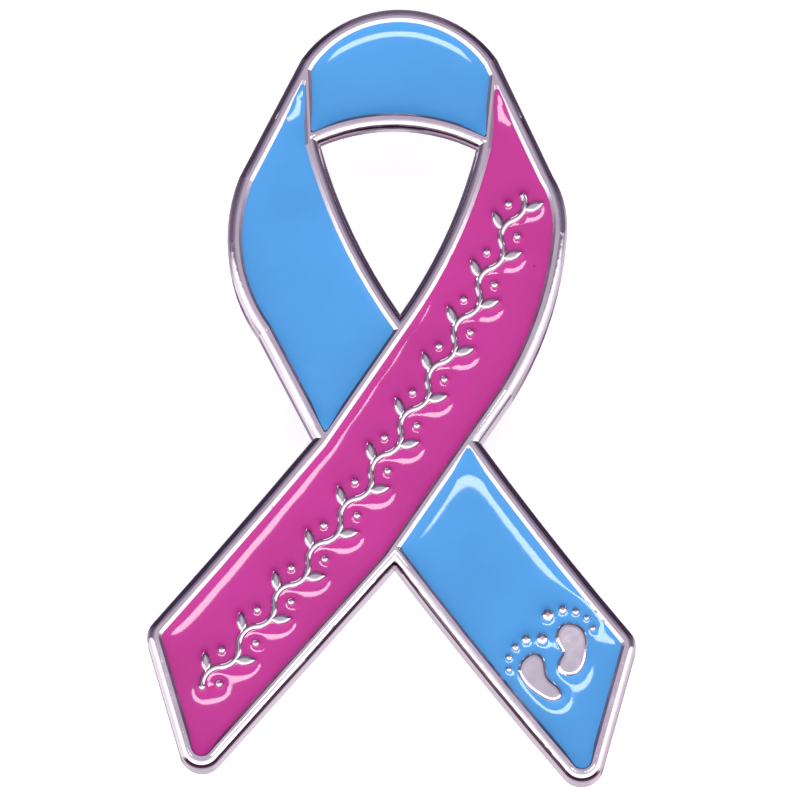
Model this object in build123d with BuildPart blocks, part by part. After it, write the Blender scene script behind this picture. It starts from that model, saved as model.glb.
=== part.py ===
"""Awareness ribbon pin: a die-struck plate with recessed cells of soft enamel, a tack post and a round clutch.

Millimetres, +Z up. The pin stands on its clutch with its face up: +X is the ribbon's right and +Y its loop.
The origin is on the surface that it stands on, below the middle of the ribbon.
"""

import os
from math import atan2, cos, radians, sin, tan

from build123d import *

# Ribbon, seen from its face
ribbon_width = 18.5
ribbon_height = 30.0
plate_thickness = 1.45
struck_depth = 0.40
side_draft = 18.0
die_break = 0.15
shoulder_radius = 0.28
tail_corner_radius = 0.85

# Struck lines and the cells between them
rim_flat = 0.108
fold_line = 0.10
crossing_line = 0.13
cell_depth = 0.30
cell_draft = 45.0
cell_corner_radius = 0.08
enamel_drop = 0.14
piece_gap = 0.02

# Raised work in the cells: its sides, how far it is sunk into their floors, and its rounded crown
relief_draft = 25.0
relief_root = 0.05
crown_height = 0.10
crown_steps = 3
knob_round = 1.2

# Ornament on the band: a wavy stem with leaves and berries
stem_width = 0.15
stem_crown = 0.06
stem_swing = 0.22
half_waves = 22
leaf_length = 0.74
leaf_width = 0.30
leaf_lean = 48.0
leaf_start = 0.03
leaf_crown = 0.09
berry_diameter = 0.32
berry_reach = 0.40

# Footprints on the tail
foot_length = 2.05
sole_crown = 0.15

# Tack post and clutch
post_diameter = 1.0
post_length = 6.0
post_point = 0.7
post_point_diameter = 0.2
post_fillet = 0.3
cloth_gap = 1.6
clutch_diameter = 6.0
clutch_grip_diameter = 5.0
clutch_flange = 1.2
clutch_floor = 0.6
clutch_edge = 0.3
post_clearance = 0.05

# Shift that brings the middle of the finished outline's box over the origin, as shares of the ribbon
middle_shift = (0.00278, -0.00265)

# Points of the outline, as shares of the ribbon's width and height
left_shoulder = (-0.189, 0.436)
loop_peak = (0.012, 0.502)
right_shoulder = (0.215, 0.436)
left_crotch = (-0.1625, -0.057)
right_crotch = (0.179, -0.062)
tail_crotch = (0.004, -0.220)
hole_left = (-0.150, 0.325)
hole_right = (0.172, 0.320)
hole_foot = (0.015, 0.104)
left_tip = (-0.409, -0.509)
left_heel = (-0.506, -0.3055)
right_tip = (0.405, -0.527)
right_heel = (0.500, -0.317)
tail_corners = [left_tip, left_heel, right_tip, right_heel]

# Stretches of the outline, clockwise: a corner, and the point that the stretch after it passes through, or None
# where the stretch is straight
right_side = [
    (right_shoulder, None),
    ((0.329, 0.284), (0.352, 0.250)),
    ((0.358, 0.207), (0.322, 0.099)),
    ((0.245, -0.003), None),
]
right_tail = [
    (right_crotch, (0.326, -0.184)),
    (right_heel, None),
    (right_tip, (0.191, -0.369)),
]
left_tail = [
    (tail_crotch, None),
    (left_tip, None),
    (left_heel, (-0.3233, -0.1752)),
]
left_side = [
    (left_crotch, None),
    ((-0.274, 0.076), (-0.340, 0.201)),
    ((-0.316, 0.282), None),
]
hole_path = [
    (hole_left, (0.012, 0.345)),
    (hole_right, (0.109, 0.207)),
    (hole_foot, (-0.081, 0.208)),
]
ribbon_path = [(left_shoulder, loop_peak)] + right_side + right_tail + left_tail + left_side

# The band that runs from the right shoulder to the left tail, over the rest
band_path = [((0.1935, 0.452), None)] + right_side + [(right_crotch, None)] + left_tail + [
    (left_crotch, None),
    (hole_foot, (0.109, 0.207)),
    (hole_right, None),
]

# The strand at the left and the right tail, whose edges go on under the band
strand_path = [
    ((-0.1153, -0.1132), None),
    ((-0.274, 0.076), (-0.340, 0.201)),
    ((-0.316, 0.282), None),
    (left_shoulder, None),
    ((-0.1595, 0.457), None),
    (hole_left, (-0.081, 0.208)),
    ((0.0801, 0.0508), None),
]
tail_path = [
    ((0.1161, -0.0065), (0.326, -0.184)),
    (right_heel, None),
    (right_tip, (0.191, -0.369)),
    ((-0.0601, -0.1663), None),
]

# A point inside each cell
cell_points = {
    "loop": (0.012, 0.430),
    "strand": (-0.250, 0.200),
    "band": (0.004, -0.061),
    "tail": (0.230, -0.200),
}

# Arc along the middle of the band, which the ornament follows from the tail upward
spine_start = (-0.388, -0.376)
spine_middle = (0.004, -0.061)
spine_end = (0.268, 0.256)

# Footprints: the middle of the sole as shares of the ribbon, then the sole's outline and the toes (x, y, diameter)
# as shares of the foot's length
footprints = [
    (
        (0.364, -0.328),
        [
            (-0.040, 0.475), (-0.200, 0.420), (-0.268, 0.270), (-0.238, 0.090), (-0.160, -0.065), (-0.235, -0.240),
            (-0.220, -0.400), (-0.065, -0.480), (0.110, -0.430), (0.225, -0.250), (0.270, 0.000), (0.262, 0.230),
            (0.160, 0.405),
        ],
        [
            (-0.434, 0.636, 0.232), (-0.159, 0.739, 0.180), (0.076, 0.698, 0.155),
            (0.273, 0.579, 0.135), (0.388, 0.387, 0.140),
        ],
    ),
    (
        (0.301, -0.364),
        [
            (-0.130, 0.436), (-0.303, 0.340), (-0.392, 0.150), (-0.310, -0.070), (-0.150, -0.235), (0.050, -0.370),
            (0.215, -0.425), (0.360, -0.360), (0.330, -0.210), (0.190, -0.090), (0.095, 0.050), (0.070, 0.220),
            (0.012, 0.370),
        ],
        [
            (0.026, 0.720, 0.225), (-0.269, 0.706, 0.188), (-0.467, 0.560, 0.160),
            (-0.580, 0.368, 0.150), (-0.587, 0.145, 0.135),
        ],
    ),
]

# Where the post stands, as shares of the ribbon
post_place = (0.004, -0.040)

# Heights
tip_height = clutch_floor + piece_gap
clutch_height = tip_height + post_length - cloth_gap
back = clutch_height + cloth_gap
face = back + plate_thickness
trim_level = face - struck_depth
cell_floor = face - cell_depth
enamel_top = face - enamel_drop

# Distance from the outline to the edges of the rim's flat top
draft_run = struck_depth * tan(radians(side_draft))
shoulder_run = draft_run + shoulder_radius * tan(radians(45 - side_draft / 2))
rim_run = shoulder_run + rim_flat
relief_run = (cell_depth + relief_root) * tan(radians(relief_draft))

# Blocks that stand on their place
upward = (Align.CENTER, Align.CENTER, Align.MIN)


def place(share):
    """Point on the ribbon from its shares of the width and height."""
    return ((share[0] + middle_shift[0]) * ribbon_width, (share[1] + middle_shift[1]) * ribbon_height)


def closed_sketch(path, height=0.0, inset=0.0):
    """Face inside a closed path of straight stretches and arcs, with rounded tail corners, drawn in by the inset."""
    with BuildSketch(Plane.XY.offset(height)) as sketch:
        with BuildLine():
            for row, (corner, passed) in enumerate(path):
                following = path[(row + 1) % len(path)][0]
                if passed is None:
                    Line(place(corner), place(following))
                else:
                    ThreePointArc(place(corner), place(passed), place(following))
        make_face()
        tails = [Vector(*place(corner)) for corner in tail_corners]
        rounded = [v for v in sketch.vertices() if min((v.center() - tail).length for tail in tails) < 0.001]
        if rounded:
            fillet(rounded, tail_corner_radius)
        if inset:
            offset(amount=-inset, kind=Kind.TANGENT, mode=Mode.REPLACE)
    return sketch.sketch


def sharp_corners(sketch):
    """Vertices where two edges meet at well under a straight angle."""
    found = []
    for vertex in sketch.vertices():
        corner = vertex.center()
        ways = []
        for edge in sketch.edges():
            if (edge.position_at(0) - corner).length < 0.0001:
                ways.append(edge.tangent_at(0))
            elif (edge.position_at(1) - corner).length < 0.0001:
                ways.append(edge.tangent_at(1) * -1)
        if len(ways) == 2 and ways[0].get_angle(ways[1]) < 150:
            found.append(vertex)
    return found


def cell_sketch(name, height, inset):
    """One cell between the struck lines, drawn in by the inset from the edges of their flat tops."""
    edge = rim_run + inset
    beside = rim_run - inset - (fold_line if name == "loop" else crossing_line)
    around = {"loop": ribbon_path, "strand": strand_path, "band": band_path, "tail": tail_path}[name]
    others = {"loop": [(band_path, beside), (strand_path, beside), (hole_path, -edge)], "band": []}
    cell = closed_sketch(around, 0, edge)
    for path, shift in others.get(name, [(band_path, beside)]):
        cell = cell - closed_sketch(path, 0, shift)
    middle = Vector(*place(cell_points[name]))
    chosen = cell.faces().sort_by(lambda piece: piece.distance_to(middle))[0]
    with BuildSketch(Plane.XY.offset(height)) as sketch:
        add(chosen)
        fillet(sharp_corners(sketch), cell_corner_radius)
    return sketch.sketch


def cell_block(name, low, high, gap):
    """Block that fills a cell from one height to another, clear of the cell's sloping sides by the gap."""
    slope = tan(radians(cell_draft))
    with BuildPart() as block:
        loft([cell_sketch(name, height, (face - height) * slope + gap) for height in (low, high)], ruled=True)
    return block.part


def relief_block(outline, crown, gap):
    """Raised piece with sloping sides and a rounded crown that comes in by a run from its outline.

    The outline is a function of the height and of how far it is grown.
    """
    slope = tan(radians(relief_draft))
    levels = [(crown_height, 0.0)]
    for step in range(crown_steps):
        turn = radians(90 * (crown_steps - 1 - step) / crown_steps)
        levels.append((crown_height * (1 - cos(turn)), crown * (1 - sin(turn))))
    sections = [outline(cell_floor - relief_root, relief_run + gap)]
    sections += [outline(face - drop, drop * slope - run + gap) for drop, run in levels]
    with BuildPart() as block:
        loft(sections, ruled=True)
    return block.part


def relief_knob(x, y, diameter, gap):
    """Round raised piece with sloping sides and a rounded top, of the diameter that shows above the enamel."""
    slope = tan(radians(relief_draft))
    top_radius = diameter / 2 - enamel_drop * slope
    with BuildPart() as knob:
        with Locations((x, y, cell_floor - relief_root)):
            Cone(
                bottom_radius=top_radius + relief_run + gap,
                top_radius=top_radius + gap,
                height=cell_depth + relief_root,
                align=upward,
            )
        if not gap:
            fillet(knob.edges().sort_by(Axis.Z)[-1], top_radius * knob_round)
    return knob.part


with BuildLine() as spine_line:
    ThreePointArc(place(spine_start), place(spine_middle), place(spine_end))
spine = spine_line.edges()[0]
half_wave = spine.length / half_waves


def by_spine(run, across):
    """Point at a distance along the middle arc of the band, and off to its left."""
    way = spine.tangent_at(run / spine.length)
    return spine.position_at(run / spine.length) + Vector(-way.Y, way.X) * across


def stem_outline(height, grow):
    """Wavy strip of arcs that cross the middle arc after each half wave."""
    reach = stem_width / 2 + grow
    swerve = 2 * atan2(2 * stem_swing, half_wave)
    with BuildSketch(Plane.XY.offset(height)) as sketch:
        with BuildLine():
            for side in (1, -1):
                points = []
                for wave in range(half_waves + 1):
                    turn = 1 if wave % 2 == 0 else -1
                    along = side * turn * -reach * sin(swerve)
                    way = spine.tangent_at(wave / half_waves)
                    points.append(by_spine(wave * half_wave, side * reach * cos(swerve)) + way * along)
                for wave in range(half_waves):
                    crest = by_spine((wave + 0.5) * half_wave, (1 if wave % 2 == 0 else -1) * stem_swing + side * reach)
                    ThreePointArc(points[wave], crest, points[wave + 1])
                if side == 1:
                    first, last = points[0], points[-1]
            Line(first, points[0])
            Line(last, points[-1])
        make_face()
    return sketch.sketch


def leaf_outline(base, way, height, grow):
    """Pointed leaf between two arcs."""
    tip_run = 1.4 * grow
    start = base - way * tip_run
    end = base + way * (leaf_length + tip_run)
    bulge = Vector(-way.Y, way.X) * (leaf_width / 2 + grow)
    middle = (start + end) * 0.5
    with BuildSketch(Plane.XY.offset(height)) as sketch:
        with BuildLine():
            ThreePointArc(start, middle + bulge, end)
            ThreePointArc(end, middle - bulge, start)
        make_face()
    return sketch.sketch


def ornament(gap):
    """Blocks of the stem, its leaves and its berries."""
    blocks = [relief_block(stem_outline, stem_crown, gap)]
    for crest in range(half_waves):
        side = 1 if crest % 2 == 0 else -1
        run = (crest + 0.5) * half_wave
        way = spine.tangent_at(run / spine.length).rotate(Axis.Z, side * leaf_lean)
        base = by_spine(run, side * stem_swing) + way * leaf_start
        blocks.append(relief_block(lambda height, grow: leaf_outline(base, way, height, grow), leaf_crown, gap))
        berry = by_spine(run, -side * berry_reach)
        blocks.append(relief_knob(berry.X, berry.Y, berry_diameter, gap))
    for end in (spine.position_at(0), spine.position_at(1)):
        blocks.append(relief_knob(end.X, end.Y, berry_diameter, gap))
    return blocks


def sole_outline(points, height, grow):
    """Closed smooth outline of a sole through its points, each moved out by the growth."""
    moved = []
    for row, point in enumerate(points):
        along = (points[(row + 1) % len(points)] - points[row - 1]).normalized()
        moved.append(point + Vector(along.Y, -along.X) * grow)
    with BuildSketch(Plane.XY.offset(height)) as sketch:
        with BuildLine():
            Spline(*moved, periodic=True)
        make_face()
    return sketch.sketch


def feet(gap):
    """Blocks of the soles and toes."""
    blocks = []
    for middle, sole, toes in footprints:
        foot = Vector(*place(middle))
        points = [foot + Vector(x, y) * foot_length for x, y in sole]
        blocks.append(relief_block(lambda height, grow: sole_outline(points, height, grow), sole_crown, gap))
        for x, y, diameter in toes:
            toe = foot + Vector(x, y) * foot_length
            blocks.append(relief_knob(toe.X, toe.Y, diameter * foot_length, gap))
    return blocks


with BuildPart() as hole_block:
    hole_levels = [(back, -die_break), (trim_level, 0), (face, -draft_run)]
    loft([closed_sketch(hole_path, height, inset) for height, inset in hole_levels], ruled=True)

with BuildPart() as ribbon_plate:
    plate_levels = [(back, 0), (trim_level, 0), (face, draft_run)]
    loft([closed_sketch(ribbon_path, height, inset) for height, inset in plate_levels], ruled=True)
    add(hole_block.part, mode=Mode.SUBTRACT)
    fillet(ribbon_plate.faces().sort_by(Axis.Z)[-1].edges(), shoulder_radius)
    with Locations((*place(post_place), tip_height + post_point)):
        Cylinder(post_diameter / 2, back - tip_height - post_point, align=upward)
    with Locations((*place(post_place), tip_height)):
        Cone(post_point_diameter / 2, post_diameter / 2, post_point, align=upward)
    roots = [e for e in ribbon_plate.edges().filter_by(GeomType.CIRCLE) if abs(e.center().Z - back) < 0.001]
    fillet([e for e in roots if abs(e.radius - post_diameter / 2) < 0.001], post_fillet)
    for cell in cell_points:
        add(cell_block(cell, cell_floor, face, 0.0), mode=Mode.SUBTRACT)
    add(ornament(0.0) + feet(0.0))
ribbon_plate.part.label = "ribbon_plate"

with BuildPart() as enamel_loop:
    add(cell_block("loop", cell_floor + piece_gap, enamel_top, piece_gap))
enamel_loop.part.label = "enamel_loop"

with BuildPart() as enamel_strand:
    add(cell_block("strand", cell_floor + piece_gap, enamel_top, piece_gap))
enamel_strand.part.label = "enamel_strand"

with BuildPart() as enamel_band:
    add(cell_block("band", cell_floor + piece_gap, enamel_top, piece_gap))
    add(ornament(piece_gap), mode=Mode.SUBTRACT)
enamel_band.part.label = "enamel_band"

with BuildPart() as enamel_tail:
    add(cell_block("tail", cell_floor + piece_gap, enamel_top, piece_gap))
    add(feet(piece_gap), mode=Mode.SUBTRACT)
enamel_tail.part.label = "enamel_tail"

with BuildPart() as clutch:
    with Locations((*place(post_place), 0)):
        Cylinder(clutch_diameter / 2, clutch_flange, align=upward)
        Cylinder(clutch_grip_diameter / 2, clutch_height, align=upward)
    rounded = clutch.edges().filter_by(GeomType.CIRCLE).group_by(Axis.Z)
    fillet(rounded[0] + rounded[1].sort_by(SortBy.RADIUS)[-1:] + rounded[-1], clutch_edge)
    with Locations((*place(post_place), clutch_floor)):
        Cylinder(post_diameter / 2 + post_clearance, clutch_height, align=upward, mode=Mode.SUBTRACT)
clutch.part.label = "clutch"

os.makedirs("parts", exist_ok=True)
export_step(ribbon_plate.part, "parts/ribbon_plate.step")
export_step(enamel_loop.part, "parts/enamel_loop.step")
export_step(enamel_strand.part, "parts/enamel_strand.step")
export_step(enamel_band.part, "parts/enamel_band.step")
export_step(enamel_tail.part, "parts/enamel_tail.step")
export_step(clutch.part, "parts/clutch.step")
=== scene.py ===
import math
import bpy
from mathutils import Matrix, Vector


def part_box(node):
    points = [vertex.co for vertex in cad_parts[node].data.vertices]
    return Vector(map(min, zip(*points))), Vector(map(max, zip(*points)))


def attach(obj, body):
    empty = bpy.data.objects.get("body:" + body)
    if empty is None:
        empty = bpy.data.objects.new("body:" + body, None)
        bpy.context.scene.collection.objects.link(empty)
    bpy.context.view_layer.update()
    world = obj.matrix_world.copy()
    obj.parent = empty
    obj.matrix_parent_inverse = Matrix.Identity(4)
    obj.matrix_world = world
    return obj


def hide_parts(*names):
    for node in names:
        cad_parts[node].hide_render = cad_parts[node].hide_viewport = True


bl_info = {
    "name": "Ribbon Pin Finish",
    "version": (1, 0, 0),
    "blender": (4, 5, 0),
    "location": "View3D > Sidebar > Ribbon Pin",
    "description": "Nickel, enamel and a studio table for the struck ribbon pin",
    "category": "Object",
}

import bpy
import numpy as np
from mathutils import Vector
from mathutils.geometry import delaunay_2d_cdt
from mathutils.kdtree import KDTree

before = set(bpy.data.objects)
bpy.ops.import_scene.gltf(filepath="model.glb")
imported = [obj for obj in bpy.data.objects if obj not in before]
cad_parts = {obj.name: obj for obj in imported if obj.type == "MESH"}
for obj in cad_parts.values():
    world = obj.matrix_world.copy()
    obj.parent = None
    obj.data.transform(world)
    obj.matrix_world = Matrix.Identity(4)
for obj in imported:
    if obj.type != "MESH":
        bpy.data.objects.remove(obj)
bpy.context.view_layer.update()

MM = 0.001

# Heights of the raised lines' tops and of the cells' floors, in millimetres
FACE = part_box("ribbon_plate")[1].z / MM
CELL_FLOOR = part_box("enamel_band")[0].z / MM

# Draft of the walls of the cells and of the raised work in them, from the upright
CELL_DRAFT = math.radians(45)
RELIEF_DRAFT = math.radians(25)

# Flat top of a packed enamel piece: its depth in millimetres, the least upward share of its faces' normals,
# and the steps of a millimetre that tell its vertices apart
FLAT_DEPTH = 0.0005
UPWARD = 0.9
WELD_STEPS = 100000

# Rim of the enamel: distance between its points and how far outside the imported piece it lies, in millimetres,
# then its fewest points and how often its facets are smoothed
RIM_STEP = 0.06
RIM_OUTSET = 0.024
FEWEST_RIM_POINTS = 12
RIM_SMOOTHINGS = 3

# Sharp corners of a cell: length over which a turn is measured in millimetres, the least turn, and how many
# points a side is read from
CORNER_SPAN = 0.3
CORNER_TURN = math.radians(62)
SIDE_POINTS = 3

# Contact depth in a sharp corner, as a share of the usual one, and the distance in millimetres over which it
# grows to the usual one
CORNER_CONTACT = 0.3
CORNER_REACH = 0.9

# Mesh points in rows along the walls: depths of the rows and least distance between points, in millimetres,
# and the share of a row's depth that a point keeps from every wall
ROW_DEPTHS = (0.03, 0.06, 0.09, 0.13, 0.17, 0.21, 0.26, 0.31, 0.36)
ROW_GAP = 0.028
ROW_SHARE = 0.93

# Triangle grid on the open enamel: its distance from the walls in millimetres, and the distance of its rows
# as a share of its spacing
OPEN_DEPTH = 0.40
GRID_RISE = 0.866

# Triangulation: the kind of output that gives faces between the edges, and how near two points may come
EDGE_BOUND_FACES = 4
POINT_NEARNESS = 1e-7

# Search for the skin's heights: most steps, the pull at which it ends, and what keeps a divisor above zero
SEARCH_STEPS = 600
SEARCH_END = 1e-9
TINY = 1e-12

SHARP_EDGE = math.radians(50)

# Plating: how far the roughness rises in the clouds, and the height of the wear in metres
PLATE_CLOUDING = 0.07
PLATE_WEAR = 0.000008
CLUTCH_CLOUDING = 0.12
CLUTCH_WEAR = 0.00002

# Brushed round about the two footprints, which also takes a painted sheen: its middle, where it is full and
# where it ends, the length and width of its strokes, all in metres, their turn, and how far and to what colour
# the painted sheen makes it paler
SOLES = Vector((6.1, -10.4, FACE)) * MM
BRUSHED_FULL = 1.7 * MM
BRUSHED_END = 1.9 * MM
STROKE_LENGTH = 1 / 800
STROKE_WIDTH = 1 / 9000
STROKE_TURN = math.radians(42)
PAINTED_SOLE_SHEEN = (0.86, 0.85, 0.90, 1.0)
SOLE_SHEEN_SHARE = 0.55

# Cell walls that face the loop or a side take painted shade: how near a normal comes to their draft, their
# roughness and the colour of the shade
WALL_TOLERANCE = 0.012
SHADED_ROUGHNESS = 0.42
SHADED_WALL = (0.55, 0.50, 0.55, 1.0)

# Painted dark reflection, a dark line along the die wall: middle of its height and half its width in metres,
# and its colour
LINE_HEIGHT = (FACE - 0.235) * MM
LINE_HALF = 0.065 * MM
PAINTED_DARK_REFLECTION = (0.14, 0.05, 0.09, 1.0)

# Colour of dust in the enamel, as a share of the enamel's own
DUST_SHADE = 0.35

# Light of the tent's walls, as elevations in degrees and their colours, and of its patch and its dark corners
CEILING = (0.62, 0.56, 0.65)
WHITE = (1.85, 1.85, 1.85)
FLOOR = (0.68, 0.60, 0.68)
FRONT_WALL = (
    (-90, FLOOR), (-41, (0.62, 0.53, 0.61)), (-36, (0.10, 0.05, 0.08)), (-18, (0.04, 0.01, 0.03)),
    (3, (0.03, 0.01, 0.02)), (7, WHITE), (50, WHITE), (84, CEILING), (90, CEILING),
)
SIDE_WALL = (
    (-90, FLOOR), (-58, (1.10, 1.02, 1.08)), (-10, (1.15, 1.10, 1.14)),
    (9, WHITE), (42, WHITE), (84, CEILING),
)
BACK_WALL = (
    (-90, FLOOR), (-58, (0.62, 0.54, 0.64)), (-36, (0.20, 0.16, 0.22)), (30, (0.19, 0.155, 0.21)),
    (56, (0.32, 0.28, 0.35)), (68, CEILING), (90, CEILING),
)
PATCH_LIGHT = (0.78, 0.70, 0.78, 1.0)
CORNER_SHADE = (0.24, 0.18, 0.28, 1.0)

# Compass directions in the tent, in degrees from the back, by way of the right
BACK = 0
RIGHT = 90
FRONT = 180

# Stage, in metres: half of the table's side, the strip lamp's size and place, the point that the camera looks
# at, and the nearest and farthest that it sees. The width of its sensor is in millimetres.
TABLE_HALF = 0.6
STRIP_WIDTH = 0.34
STRIP_DEPTH = 0.07
STRIP_PLACE = (0.0, 0.047, 0.88)
TARGET = Vector((0.322, -0.366, FACE)) * MM
NEAREST = 0.001
FARTHEST = 5
SENSOR_WIDTH = 36

# Distances between nodes in the shader editor
NODE_COLUMN = 220
NODE_ROW = 260


class EnamelSettings(bpy.types.PropertyGroup):
    """Soft enamel that fills the struck cells."""

    blue: bpy.props.FloatVectorProperty(
        name="Blue", description="Colour of the loop, the strand and the right tail",
        subtype="COLOR", size=3, min=0, max=1, default=(0.064, 0.335, 0.75),
    )
    magenta: bpy.props.FloatVectorProperty(
        name="Magenta", description="Colour of the crossing band",
        subtype="COLOR", size=3, min=0, max=1, default=(0.53, 0.022, 0.275),
    )
    dish: bpy.props.FloatProperty(
        name="Dish", description="Depth of the level enamel below the raised lines, in millimetres",
        min=0.05, max=0.27, default=0.25, precision=3,
    )
    contact: bpy.props.FloatProperty(
        name="Contact",
        description="Depth below the raised lines at which the enamel meets a wall, in millimetres",
        min=0.0, max=0.2, default=0.12, precision=3,
    )
    reach: bpy.props.FloatProperty(
        name="Reach", description="Length over which the enamel's climb at a wall dies away, in millimetres",
        min=0.1, max=2.0, default=0.45, precision=3,
    )
    spacing: bpy.props.FloatProperty(
        name="Spacing", description="Distance between mesh points on the open enamel, in millimetres",
        min=0.05, max=0.5, default=0.08, precision=3,
    )


class MetalSettings(bpy.types.PropertyGroup):
    """Bright nickel plate of the struck ribbon and its clutch."""

    nickel: bpy.props.FloatVectorProperty(
        name="Nickel", description="Reflected colour of the plated ribbon",
        subtype="COLOR", size=3, min=0, max=1, default=(0.72, 0.655, 0.73),
    )
    polish: bpy.props.FloatProperty(
        name="Polish", description="Lowest roughness of the plate",
        subtype="FACTOR", min=0, max=1, default=0.05,
    )
    satin: bpy.props.FloatProperty(
        name="Satin", description="Roughness of the clutch",
        subtype="FACTOR", min=0, max=1, default=0.24,
    )


class StageSettings(bpy.types.PropertyGroup):
    """Table, light and camera."""

    tilt: bpy.props.FloatProperty(
        name="Tilt", description="Angle between the camera's line of sight and the upright",
        subtype="ANGLE", min=0, max=math.radians(80), default=math.radians(12.0),
    )
    distance: bpy.props.FloatProperty(
        name="Distance", description="Distance from the camera to the ribbon's face",
        subtype="DISTANCE", unit="LENGTH", min=0.05, max=2, default=0.36,
    )
    frame_width: bpy.props.FloatProperty(
        name="Frame width", description="Width that the picture takes in at the ribbon's face",
        subtype="DISTANCE", unit="LENGTH", min=0.01, max=0.2, default=0.03027,
    )
    table: bpy.props.FloatVectorProperty(
        name="Table", description="Colour of the table",
        subtype="COLOR", size=3, min=0, max=1, default=(0.80, 0.80, 0.80),
    )
    glow: bpy.props.FloatProperty(
        name="Glow", description="Light that the table gives from within",
        min=0, max=2, default=0.5,
    )
    surround: bpy.props.FloatProperty(
        name="Surround", description="Strength of the light tent's walls",
        min=0, max=10, default=1.06,
    )
    lamp: bpy.props.FloatProperty(
        name="Lamp", description="Power of the strip lamp over the pin",
        subtype="POWER", unit="POWER", min=0, max=20, default=0.64,
    )


def set_inputs(tree, node, inputs):
    """Links each named input to an output, or gives it its own value."""
    for key, value in inputs.items():
        if isinstance(value, bpy.types.NodeSocket):
            tree.links.new(value, node.inputs[key])
        else:
            node.inputs[key].default_value = value


def add_node(tree, kind, inputs, **settings):
    """New node of a kind, with its settings and its inputs."""
    node = tree.nodes.new(kind)
    for key, value in settings.items():
        setattr(node, key, value)
    set_inputs(tree, node, inputs)
    return node


def noise(tree, spot, scale, detail, roughness):
    """Cloudy pattern of a scale in clouds a metre."""
    inputs = {"Vector": spot, "Scale": scale, "Detail": detail, "Roughness": roughness}
    return add_node(tree, "ShaderNodeTexNoise", inputs).outputs["Fac"]


def dot_distance(tree, spot, scale):
    """Distance to the nearest of many scattered dots, in their own spacing."""
    return add_node(tree, "ShaderNodeTexVoronoi", {"Vector": spot, "Scale": scale}).outputs["Distance"]


def ramp(tree, value, start, end, low=0.0, high=1.0, smooth=False):
    """Value brought from the stretch between start and end to the one between low and high."""
    inputs = {"Value": value, "From Min": start, "From Max": end, "To Min": low, "To Max": high}
    kind = "SMOOTHSTEP" if smooth else "LINEAR"
    return add_node(tree, "ShaderNodeMapRange", inputs, interpolation_type=kind).outputs["Result"]


def maths(tree, operation, *values):
    """Result of an operation on numbers."""
    return add_node(tree, "ShaderNodeMath", dict(enumerate(values)), operation=operation).outputs["Value"]


def vector_maths(tree, operation, *vectors):
    """Outputs of an operation on vectors."""
    return add_node(tree, "ShaderNodeVectorMath", dict(enumerate(vectors)), operation=operation).outputs


def mix(tree, share, first, second, blend="MIX", data="RGBA"):
    """Two colours or numbers, mixed by a share of the second."""
    inputs = {"Factor": share, "A": first, "B": second}
    return add_node(tree, "ShaderNodeMix", inputs, data_type=data, blend_type=blend).outputs["Result"]


def bumped(tree, height, strength, distance):
    """Surface normal that shows a fine relief."""
    inputs = {"Height": height, "Strength": strength, "Distance": distance}
    return add_node(tree, "ShaderNodeBump", inputs).outputs["Normal"]


def lay_out(tree):
    """Sets the nodes in columns, each one left of the nodes that it feeds."""
    columns = dict.fromkeys(tree.nodes.keys(), 0)
    for _ in columns:
        for link in tree.links:
            columns[link.from_node.name] = max(columns[link.from_node.name], columns[link.to_node.name] + 1)
    filled = dict.fromkeys(columns.values(), 0)
    for name, column in columns.items():
        tree.nodes[name].location = (-NODE_COLUMN * column, -NODE_ROW * filled[column])
        filled[column] += 1


def new_material(name):
    """Node material, its tree and its principled shader."""
    material = bpy.data.materials.new(name)
    material.use_nodes = True
    tree = material.node_tree
    tree.nodes.clear()
    shader = add_node(tree, "ShaderNodeBsdfPrincipled", {})
    add_node(tree, "ShaderNodeOutputMaterial", {"Surface": shader.outputs["BSDF"]})
    return material, tree, shader


def brushed_and_sheen_share(tree, spot):
    """How far a place lies in the brushed round about the footprints, where a paler sheen is also painted."""
    away = vector_maths(tree, "DISTANCE", spot, SOLES)["Value"]
    return ramp(tree, away, start=BRUSHED_END, end=BRUSHED_FULL, high=0.9, smooth=True)


def shaded_share(tree, lean):
    """Which places are on cell walls that face the loop or a side, where shade is painted."""
    sloping = maths(tree, "COMPARE", lean["Z"], math.cos(CELL_DRAFT), WALL_TOLERANCE)
    turned_away = ramp(tree, lean["Y"], start=-0.35, end=-0.15, smooth=True)
    return maths(tree, "MULTIPLY", sloping, turned_away)


def dark_reflection_share(tree, spot, lean):
    """Which places take the painted dark reflection, a line along the edges that face the tails."""
    height = add_node(tree, "ShaderNodeSeparateXYZ", {"Vector": spot}).outputs["Z"]
    level = maths(tree, "COMPARE", height, LINE_HEIGHT, LINE_HALF)
    toward_tails = ramp(tree, lean["Y"], start=-0.42, end=-0.58, smooth=True)
    return maths(tree, "MULTIPLY", level, toward_tails)


def nickel_relief(tree, spot, brushed_and_sheen):
    """Height of the wear: rubbing marks, strokes across the soles and small pits."""
    rubbed = noise(tree, spot, scale=2600.0, detail=5.0, roughness=0.62)
    size = (STROKE_LENGTH, STROKE_WIDTH, STROKE_LENGTH)
    inputs = {"Vector": spot, "Rotation": (0, 0, STROKE_TURN), "Scale": size}
    turned = add_node(tree, "ShaderNodeMapping", inputs, vector_type="TEXTURE").outputs["Vector"]
    strokes = noise(tree, turned, scale=1.0, detail=3.0, roughness=0.6)
    worn = maths(tree, "ADD", rubbed, maths(tree, "MULTIPLY", strokes, brushed_and_sheen))
    pits = ramp(tree, dot_distance(tree, spot, scale=700.0), start=0.03, end=0.09, low=-0.8, high=0.0)
    return maths(tree, "ADD", worn, pits)


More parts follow.
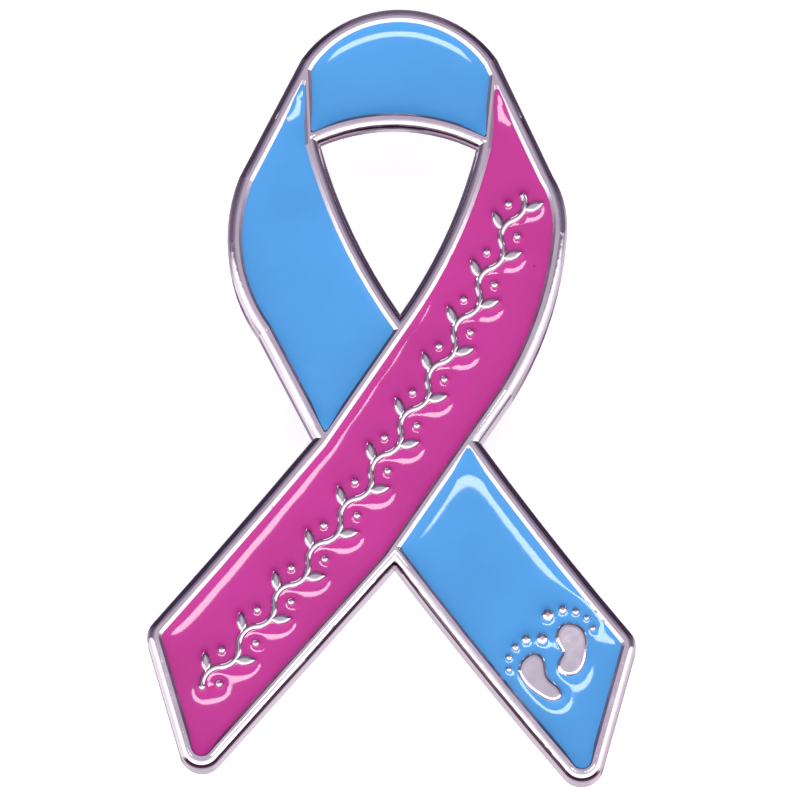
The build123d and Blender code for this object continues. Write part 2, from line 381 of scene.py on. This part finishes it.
def nickel_material(name, colour, roughness, clouding, wear):
    """Plated metal: cloudy polish, brushed soles with a painted paler sheen, painted shade on cell walls, a
    painted dark reflection along the die wall and fine wear.
    """
    material, tree, shader = new_material(name)
    spot = add_node(tree, "ShaderNodeTexCoord", {}).outputs["Object"]
    normal = add_node(tree, "ShaderNodeNewGeometry", {}).outputs["Normal"]
    lean = add_node(tree, "ShaderNodeSeparateXYZ", {"Vector": normal}).outputs
    clouds = noise(tree, spot, scale=900.0, detail=4.0, roughness=0.6)
    brushed_and_sheen = brushed_and_sheen_share(tree, spot)
    shaded = shaded_share(tree, lean)
    clouded = ramp(tree, clouds, start=0.0, end=1.0, low=0.90, high=1.06)
    tone = mix(tree, 1.0, (*colour, 1.0), clouded, blend="MULTIPLY")
    # Painted sheen: the soles are made paler, standing in for light that their brushing scatters
    tone = mix(tree, maths(tree, "MULTIPLY", brushed_and_sheen, SOLE_SHEEN_SHARE), tone, PAINTED_SOLE_SHEEN)
    # Painted dark reflection: a dark line on the die wall under the shoulder, on the edges that face the tails
    tone = mix(tree, dark_reflection_share(tree, spot, lean), tone, PAINTED_DARK_REFLECTION, blend="MULTIPLY")
    gloss = ramp(tree, clouds, start=0.35, end=0.70, low=roughness, high=roughness + clouding)
    # Painted shade darkens the cell walls that face the loop or a side
    set_inputs(tree, shader, {
        "Base Color": mix(tree, shaded, tone, SHADED_WALL, blend="MULTIPLY"),
        "Metallic": 1.0,
        "Roughness": mix(tree, shaded, gloss, SHADED_ROUGHNESS, data="FLOAT"),
        "Normal": bumped(tree, nickel_relief(tree, spot, brushed_and_sheen), strength=0.35, distance=wear),
    })
    lay_out(tree)
    return material


def enamel_material(name, colour):
    """Glossy soft enamel: settled pigment, a faintly uneven skin and a few specks of dust."""
    material, tree, shader = new_material(name)
    spot = add_node(tree, "ShaderNodeTexCoord", {}).outputs["Object"]
    pigment = noise(tree, spot, scale=240.0, detail=3.0, roughness=0.55)
    settled = ramp(tree, pigment, start=0.3, end=0.7, low=0.93, high=1.05)
    tone = mix(tree, 1.0, (*colour, 1.0), settled, blend="MULTIPLY")
    speck = ramp(tree, dot_distance(tree, spot, scale=420.0), start=0.020, end=0.034, low=0.55, high=0.0)
    dust = (*(value * DUST_SHADE for value in colour), 1.0)
    skin = noise(tree, spot, scale=700.0, detail=2.0, roughness=0.5)
    uneven = bumped(tree, skin, strength=0.25, distance=0.00001)
    set_inputs(tree, shader, {
        "Base Color": mix(tree, speck, tone, dust),
        "Roughness": 0.06,
        "IOR": 1.52,
        "Normal": uneven,
        "Coat Weight": 0.35,
        "Coat Roughness": 0.03,
        "Coat Normal": uneven,
    })
    lay_out(tree)
    return material


def open_edges(faces):
    """Edges that only one face has, in that face's direction."""
    edges = set()
    for face in faces:
        for a, b in zip(face, face[1:] + face[:1]):
            if (b, a) in edges:
                edges.remove((b, a))
            elif a != b:
                edges.add((a, b))
    return edges


def top_loops(node):
    """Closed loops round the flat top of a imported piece, in millimetres, with the piece on their left."""
    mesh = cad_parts[node].data
    spots = np.array([vertex.co for vertex in mesh.vertices]) / MM
    steps = np.round(spots * WELD_STEPS).astype(int)
    first = {}
    welded = [first.setdefault(tuple(place), row) for row, place in enumerate(steps)]
    top = spots[:, 2].max() - FLAT_DEPTH
    faces = [[welded[row] for row in face.vertices] for face in mesh.polygons if face.normal.z > UPWARD]
    following = dict(open_edges(face for face in faces if all(spots[row][2] > top for row in face)))
    loops = []
    while following:
        start, point = next(iter(following.items()))
        loop = [start]
        while point != start:
            loop.append(point)
            point = following.pop(point)
        following.pop(start)
        loops.append(spots[loop][:, :2])
    return loops


def distances_along(path):
    """Distance of each point of a path from its start."""
    return np.concatenate([[0], np.cumsum(np.linalg.norm(np.diff(path, axis=0), axis=1))])


def points_along(path, marks):
    """Points of a path at the given distances from its start."""
    runs = distances_along(path)
    return np.column_stack([np.interp(marks, runs, path[:, axis]) for axis in (0, 1)])


def even_loop(loop):
    """The loop with points at about even distances, and its facets smoothed."""
    closed = np.vstack([loop, loop[:1]])
    length = distances_along(closed)[-1]
    count = max(FEWEST_RIM_POINTS, int(round(length / RIM_STEP)))
    even = points_along(closed, np.arange(count) * length / count)
    for _ in range(RIM_SMOOTHINGS):
        even = even * 0.5 + (np.roll(even, 1, 0) + np.roll(even, -1, 0)) * 0.25
    return even


def inward(loop):
    """Unit vectors at the points of a loop, towards the piece on its left."""
    along = np.roll(loop, -1, 0) - np.roll(loop, 1, 0)
    along /= np.linalg.norm(along, axis=1)[:, None] + TINY
    return np.column_stack([-along[:, 1], along[:, 0]])


def inside(points, loops):
    """Which points lie in the region that the loops bound."""
    crossings = np.zeros(len(points), int)
    for loop in loops:
        for a, b in zip(loop, np.roll(loop, -1, 0)):
            rows = np.nonzero((points[:, 1] < a[1]) != (points[:, 1] < b[1]))[0]
            if len(rows):
                cross = a[0] + (points[rows, 1] - a[1]) * (b[0] - a[0]) / (b[1] - a[1])
                crossings[rows] += points[rows, 0] < cross
    return crossings % 2 == 1


def at_corners(loop):
    """Which points of a loop lie in a sharp corner."""
    step = round(CORNER_SPAN / RIM_STEP)
    before = loop - np.roll(loop, step, 0)
    after = np.roll(loop, -step, 0) - loop
    lengths = np.linalg.norm(before, axis=1) * np.linalg.norm(after, axis=1) + TINY
    return (before * after).sum(1) / lengths < math.cos(CORNER_TURN)


def corner_pull(loop, turned):
    """Share of the usual contact depth at the points of a loop: enamel is drawn up into sharp corners."""
    if not turned.any():
        return np.ones(len(loop))
    nearest = np.linalg.norm(loop[:, None, :] - loop[turned][None, :, :], axis=2).min(1)
    return CORNER_CONTACT + (1 - CORNER_CONTACT) * np.clip(nearest / CORNER_REACH, 0, 1)


def side_meeting(loop, first, last):
    """Where the side that ends at the first point would meet the side that starts at the last."""
    way_in = loop[first] - loop[(first - SIDE_POINTS) % len(loop)]
    way_out = loop[last] - loop[(last + SIDE_POINTS) % len(loop)]
    between = loop[last] - loop[first]
    cross = way_in[0] * way_out[1] - way_in[1] * way_out[0]
    return loop[first] + way_in * ((between[0] * way_out[1] - between[1] * way_out[0]) / cross)


def mitred(loop, turned):
    """The loop with each sharp corner drawn out to where its two sides would meet."""
    count = len(loop)
    for start in [row for row in range(count) if turned[row] and not turned[row - 1]]:
        run = 1
        while turned[(start + run) % count]:
            run += 1
        first, last = (start - 1) % count, (start + run) % count
        legs = np.array([loop[first], side_meeting(loop, first, last), loop[last]])
        marks = np.linspace(0, distances_along(legs)[-1], run + 2)[1:-1]
        loop[[(start + step) % count for step in range(run)]] = points_along(legs, marks)
    return loop


def box_area(loop):
    """Area of the upright box round a loop."""
    return np.ptp(loop[:, 0]) * np.ptp(loop[:, 1])


def cell_rims(node, settings):
    """Loops along which a cell's enamel meets the metal, the outer one first, and its climb at each point."""
    flat_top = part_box(node)[1].z / MM
    loops, climbs = [], []
    for row, loop in enumerate(sorted(top_loops(node), key=box_area, reverse=True)):
        even = even_loop(loop)
        turned = np.zeros(len(even), bool) if row else at_corners(even)
        contact = settings.contact * corner_pull(even, turned)
        slope = math.tan(RELIEF_DRAFT if row else CELL_DRAFT)
        outset = RIM_OUTSET - (flat_top - FACE + contact) * slope
        loops.append(mitred(even - inward(even) * outset[:, None], turned))
        climbs.append(settings.dish - contact)
    return loops, np.concatenate(climbs)


def rim_tree(rim):
    """Search tree of the rim's points."""
    tree = KDTree(len(rim))
    for row, point in enumerate(rim):
        tree.insert((*point, 0), row)
    tree.balance()
    return tree


def wall_distance(tree, point):
    """Distance from a point to the nearest one of the rim."""
    return tree.find((*point, 0))[2]


def finds_room(point, taken):
    """Whether a point keeps the rows' gap to all taken ones, in which case it is taken too."""
    column, row = int(point[0] // ROW_GAP), int(point[1] // ROW_GAP)
    for i in (-1, 0, 1):
        for j in (-1, 0, 1):
            for other in taken.get((column + i, row + j), ()):
                if (other[0] - point[0]) ** 2 + (other[1] - point[1]) ** 2 < ROW_GAP * ROW_GAP:
                    return False
    taken.setdefault((column, row), []).append(point)
    return True


def wall_points(loops, tree):
    """Mesh points in rows along the walls."""
    points, taken = [], {}
    for depth in ROW_DEPTHS:
        for loop in loops:
            for point in loop + inward(loop) * depth:
                if wall_distance(tree, point) > depth * ROW_SHARE and finds_room(point, taken):
                    points.append(point)
    return points


def open_points(loops, tree, spacing):
    """Mesh points in an even triangle grid on the open enamel."""
    rim = np.vstack(loops)
    low, high = rim.min(0), rim.max(0)
    columns = np.arange(low[0], high[0], spacing)
    rows = np.arange(low[1], high[1], spacing * GRID_RISE)
    grid = np.array([(x + (k % 2) * spacing / 2, y) for k, y in enumerate(rows) for x in columns])
    return [point for point in grid[inside(grid, loops)] if wall_distance(tree, point) > OPEN_DEPTH]


def skin_triangles(loops, spacing):
    """Points and triangles of a cell's skin, seen from above, and which of the points are the rim's."""
    rim = np.vstack(loops)
    tree = rim_tree(rim)
    inner = np.array(wall_points(loops, tree) + open_points(loops, tree, spacing))
    edges, start = [], 0
    for loop in loops:
        edges += [(start + k, start + (k + 1) % len(loop)) for k in range(len(loop))]
        start += len(loop)
    points = [Vector(point) for point in np.vstack([rim, inner[inside(inner, loops)]])]
    spots, _, faces, sources, _, _ = delaunay_2d_cdt(points, edges, [], EDGE_BOUND_FACES, POINT_NEARNESS)
    on_rim = {row: source for row, origin in enumerate(sources) for source in origin if source < len(rim)}
    return np.array([tuple(spot) for spot in spots]), np.array(faces), on_rim


def skin_springs(points, triangles):
    """Springs between neighbouring points, as starts, ends and strengths, and the area round each point."""
    corners = points[triangles]
    sides = [corners[:, (k + 2) % 3] - corners[:, (k + 1) % 3] for k in range(3)]
    area = 0.5 * np.abs(sides[0][:, 0] * sides[1][:, 1] - sides[0][:, 1] * sides[1][:, 0]) + TINY
    around = np.bincount(triangles.ravel(), np.repeat(area / 3, 3), len(points))
    starts, ends, strengths = [], [], []
    for k in range(3):
        i, j = (k + 1) % 3, (k + 2) % 3
        starts.append(triangles[:, i])
        ends.append(triangles[:, j])
        strengths.append(-(sides[i] * sides[j]).sum(1) / (4 * area))
    return np.concatenate(starts), np.concatenate(ends), np.concatenate(strengths), around


def balanced(heights, pull, diagonal):
    """Heights at which the pull dies away, found by conjugate gradients."""
    residual = -pull(heights)
    step = residual / diagonal
    energy = residual @ step
    for _ in range(SEARCH_STEPS):
        moved = pull(step)
        share = energy / (step @ moved)
        heights += share * step
        residual -= share * moved
        if np.abs(residual).max() < SEARCH_END:
            break
        scaled = residual / diagonal
        fresh = residual @ scaled
        step = scaled + fresh / energy * step
        energy = fresh
    return heights


def settled_heights(points, triangles, climb, reach):
    """Heights of a liquid skin over its level, held at the given climb along the walls."""
    count = len(points)
    starts, ends, strengths, around = skin_springs(points, triangles)
    diagonal = np.bincount(starts, strengths, count) + np.bincount(ends, strengths, count) + around / reach**2
    held = list(climb)
    free = ~np.isin(np.arange(count), held)

    def pull(heights):
        """Force on each free point at the given heights."""
        flow = np.bincount(starts, strengths * heights[ends], count)
        flow += np.bincount(ends, strengths * heights[starts], count)
        return (diagonal * heights - flow) * free

    heights = np.zeros(count)
    heights[held] = list(climb.values())
    return balanced(heights, pull, diagonal)


def closed_body(name, top, faces):
    """Mesh of a skin, with an upright skirt under its edge and a flat base on the cell's floor."""
    rim_edges = open_edges(faces)
    rim_rows = sorted({row for edge in rim_edges for row in edge})
    below = {row: len(top) + k for k, row in enumerate(rim_rows)}
    base = top[rim_rows]
    base[:, 2] = CELL_FLOOR
    skirt = []
    for i, j in rim_edges:
        skirt += [(j, i, below[i]), (j, below[i], below[j])]
    outline = [Vector(point) for point in base[:, :2]]
    edges = [(below[i] - len(top), below[j] - len(top)) for i, j in rim_edges]
    _, _, flat, sources, _, _ = delaunay_2d_cdt(outline, edges, [], EDGE_BOUND_FACES, POINT_NEARNESS)
    under = [tuple(len(top) + sources[row][0] for row in reversed(face)) for face in flat]
    mesh = bpy.data.meshes.new(name)
    mesh.from_pydata((np.vstack([top, base]) * MM).tolist(), [], faces + skirt + under)
    mesh.validate()
    mesh.update()
    mesh.polygons.foreach_set("use_smooth", [True] * len(mesh.polygons))
    mesh.set_sharp_from_angle(angle=SHARP_EDGE)
    return mesh


def enamel_mesh(name, node, settings):
    """Closed body of enamel in one cell, whose skin climbs the walls and the raised work."""
    loops, climb = cell_rims(node, settings)
    spots, faces, on_rim = skin_triangles(loops, settings.spacing)
    held = {row: climb[source] for row, source in on_rim.items()}
    heights = settled_heights(spots, faces, held, settings.reach)
    top = np.column_stack([spots, FACE - settings.dish + heights])
    return closed_body(name, top, faces.tolist())


class RIBBONPIN_OT_finish_plate(bpy.types.Operator):
    """Gives the struck plate its bright nickel."""

    bl_idname = "ribbonpin.finish_plate"
    bl_label = "Finish Plate"

    def execute(self, context):
        metal = context.scene.ribbon_metal
        nickel = nickel_material("Struck_nickel", metal.nickel, metal.polish, PLATE_CLOUDING, PLATE_WEAR)
        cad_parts["ribbon_plate"].data.materials[0] = nickel
        return {"FINISHED"}


class RIBBONPIN_OT_fill_cells(bpy.types.Operator):
    """Fills the four cells with glossy enamel that climbs the raised lines."""

    bl_idname = "ribbonpin.fill_cells"
    bl_label = "Fill Cells"

    def execute(self, context):
        settings = context.scene.ribbon_enamel
        blue = enamel_material("Sky_blue_enamel", settings.blue)
        magenta = enamel_material("Magenta_enamel", settings.magenta)
        for cell in ("loop", "strand", "band", "tail"):
            node = "enamel_" + cell
            name = "Enamel_" + cell
            fill = bpy.data.objects.new(name, enamel_mesh(name, node, settings))
            context.scene.collection.objects.link(fill)
            fill.data.materials.append(magenta if cell == "band" else blue)
            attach(fill, "root")
            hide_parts(node)
        return {"FINISHED"}


class RIBBONPIN_OT_finish_clutch(bpy.types.Operator):
    """Gives the clutch its satin nickel."""

    bl_idname = "ribbonpin.finish_clutch"
    bl_label = "Finish Clutch"

    def execute(self, context):
        metal = context.scene.ribbon_metal
        nickel = nickel_material("Satin_nickel", metal.nickel, metal.satin, CLUTCH_CLOUDING, CLUTCH_WEAR)
        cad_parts["clutch"].data.materials[0] = nickel
        return {"FINISHED"}


def wall_light(tree, height, stops):
    """Light of one wall of the tent, from its elevations and colours."""
    node = add_node(tree, "ShaderNodeValToRGB", {"Fac": height})
    elements = node.color_ramp.elements
    elements.remove(elements[1])
    for row, (elevation, colour) in enumerate(stops):
        place = (math.sin(math.radians(elevation)) + 1) / 2
        stop = elements.new(place) if row else elements[0]
        stop.position = place
        stop.color = (*colour, 1.0)
    return node.outputs["Color"]


def toward(tree, compass, azimuth, start, end):
    """Share of the directions near an azimuth, by the cosine of the angle between them."""
    middle = (math.sin(math.radians(azimuth)), math.cos(math.radians(azimuth)), 0)
    cosine = vector_maths(tree, "DOT_PRODUCT", compass, middle)["Value"]
    return ramp(tree, cosine, start, end, smooth=True)


def below(tree, lift, start, end):
    """Share of the directions under an elevation, from none at the first to all at the second."""
    return ramp(tree, lift, math.sin(math.radians(start)), math.sin(math.radians(end)), smooth=True)


def tent_light(tree):
    """Light from each direction: three walls, a light patch low at the right and dark corners behind."""
    way = add_node(tree, "ShaderNodeTexCoord", {}).outputs["Generated"]
    lift = add_node(tree, "ShaderNodeSeparateXYZ", {"Vector": way}).outputs["Z"]
    level = vector_maths(tree, "MULTIPLY", way, (1, 1, 0))["Vector"]
    compass = vector_maths(tree, "NORMALIZE", level)["Vector"]
    height = ramp(tree, lift, start=-1.0, end=1.0)
    front, side, back = [wall_light(tree, height, stops) for stops in (FRONT_WALL, SIDE_WALL, BACK_WALL)]
    light = mix(tree, toward(tree, compass, FRONT, start=0.34, end=0.56), side, front)
    light = mix(tree, toward(tree, compass, BACK, start=0.03, end=0.18), light, back)
    right = toward(tree, compass, RIGHT, start=0.75, end=0.92)
    low_right = maths(tree, "MULTIPLY", right, below(tree, lift, start=-28, end=-44))
    light = mix(tree, low_right, light, PATCH_LIGHT)
    behind = toward(tree, compass, BACK, start=0.35, end=0.75)
    straight_behind = toward(tree, compass, BACK, start=0.88, end=0.98)
    askew = maths(tree, "SUBTRACT", behind, straight_behind)
    corners = maths(tree, "MULTIPLY", askew, below(tree, lift, start=56, end=12))
    return mix(tree, corners, light, mix(tree, 1.0, back, CORNER_SHADE, blend="MULTIPLY"))


def hang_tent(scene, strength):
    """Light tent: white walls, with a dark gap low at the front, a dark back and a lilac-grey ceiling."""
    world = bpy.data.worlds.new("Light_tent")
    scene.world = world
    world.use_nodes = True
    tree = world.node_tree
    tree.nodes.clear()
    glow = add_node(tree, "ShaderNodeBackground", {"Color": tent_light(tree), "Strength": strength})
    add_node(tree, "ShaderNodeOutputWorld", {"Surface": glow.outputs["Background"]})
    lay_out(tree)


def lay_table(scene, colour, glow):
    """Wide pale table that gives a little light of its own and isn't mirrored in the metal."""
    mesh = bpy.data.meshes.new("Table")
    corners = [(TABLE_HALF * x, TABLE_HALF * y, 0) for x, y in ((-1, -1), (1, -1), (1, 1), (-1, 1))]
    mesh.from_pydata(corners, [], [(0, 1, 2, 3)])
    table = bpy.data.objects.new("Table", mesh)
    scene.collection.objects.link(table)
    material, tree, shader = new_material("Pale_table")
    set_inputs(tree, shader, {
        "Base Color": (*colour, 1.0),
        "Roughness": 0.9,
        "Specular IOR Level": 0.1,
        "Emission Color": (1.0, 1.0, 1.0, 1.0),
        "Emission Strength": glow,
    })
    lay_out(tree)
    mesh.materials.append(material)
    table.visible_glossy = False


def hang_lamp(scene, power):
    """Strip lamp over the pin, a little behind its middle."""
    strip = bpy.data.lights.new("Strip_lamp", "AREA")
    strip.shape = "RECTANGLE"
    strip.size = STRIP_WIDTH
    strip.size_y = STRIP_DEPTH
    strip.energy = power
    lamp = bpy.data.objects.new("Strip_lamp", strip)
    scene.collection.objects.link(lamp)
    lamp.location = STRIP_PLACE


def set_camera(scene, tilt, distance, frame_width):
    """Camera over the tails' side, that looks down at the ribbon's face."""
    lens = bpy.data.cameras.new("Camera")
    camera = bpy.data.objects.new("Camera", lens)
    scene.collection.objects.link(camera)
    scene.camera = camera
    sight = Vector((0, -math.sin(tilt), math.cos(tilt)))
    camera.location = TARGET + sight * distance
    camera.rotation_euler = (tilt, 0, 0)
    lens.sensor_fit = "HORIZONTAL"
    lens.sensor_width = SENSOR_WIDTH
    lens.lens = SENSOR_WIDTH * distance / frame_width
    lens.clip_start = NEAREST
    lens.clip_end = FARTHEST


class RIBBONPIN_OT_set_stage(bpy.types.Operator):
    """Lays the table and sets the light tent, the strip lamp and the camera."""

    bl_idname = "ribbonpin.set_stage"
    bl_label = "Set Stage"

    def execute(self, context):
        scene = context.scene
        stage = scene.ribbon_stage
        scene.view_settings.view_transform = "Standard"
        scene.view_settings.look = "None"
        lay_table(scene, stage.table, stage.glow)
        hang_tent(scene, stage.surround)
        hang_lamp(scene, stage.lamp)
        set_camera(scene, stage.tilt, stage.distance, stage.frame_width)
        return {"FINISHED"}


class RIBBONPIN_PT_panel(bpy.types.Panel):
    """Lists the steps and their settings."""

    bl_label = "Ribbon Pin"
    bl_idname = "RIBBONPIN_PT_panel"
    bl_space_type = "VIEW_3D"
    bl_region_type = "UI"
    bl_category = "Ribbon Pin"

    def draw(self, context):
        enamel = ("blue", "magenta", "dish", "contact", "reach", "spacing")
        stage = ("tilt", "distance", "frame_width", "table", "glow", "surround", "lamp")
        for group, names, operator in (
            (context.scene.ribbon_metal, ("nickel", "polish"), RIBBONPIN_OT_finish_plate),
            (context.scene.ribbon_enamel, enamel, RIBBONPIN_OT_fill_cells),
            (context.scene.ribbon_metal, ("satin",), RIBBONPIN_OT_finish_clutch),
            (context.scene.ribbon_stage, stage, RIBBONPIN_OT_set_stage),
        ):
            box = self.layout.box()
            for name in names:
                box.prop(group, name)
            box.operator(operator.bl_idname)


CLASSES = (
    EnamelSettings,
    MetalSettings,
    StageSettings,
    RIBBONPIN_OT_finish_plate,
    RIBBONPIN_OT_fill_cells,
    RIBBONPIN_OT_finish_clutch,
    RIBBONPIN_OT_set_stage,
    RIBBONPIN_PT_panel,
)


def register():
    """Registers the classes and gives the scene their settings."""
    for item in CLASSES:
        bpy.utils.register_class(item)
    bpy.types.Scene.ribbon_enamel = bpy.props.PointerProperty(type=EnamelSettings)
    bpy.types.Scene.ribbon_metal = bpy.props.PointerProperty(type=MetalSettings)
    bpy.types.Scene.ribbon_stage = bpy.props.PointerProperty(type=StageSettings)


def unregister():
    """Takes the settings and the classes away again."""
    del bpy.types.Scene.ribbon_enamel
    del bpy.types.Scene.ribbon_metal
    del bpy.types.Scene.ribbon_stage
    for item in reversed(CLASSES):
        bpy.utils.unregister_class(item)


def main():
    """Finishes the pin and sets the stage."""
    register()
    bpy.ops.ribbonpin.finish_plate()
    bpy.ops.ribbonpin.fill_cells()
    bpy.ops.ribbonpin.finish_clutch()
    bpy.ops.ribbonpin.set_stage()


if __name__ == "__main__":
    main()
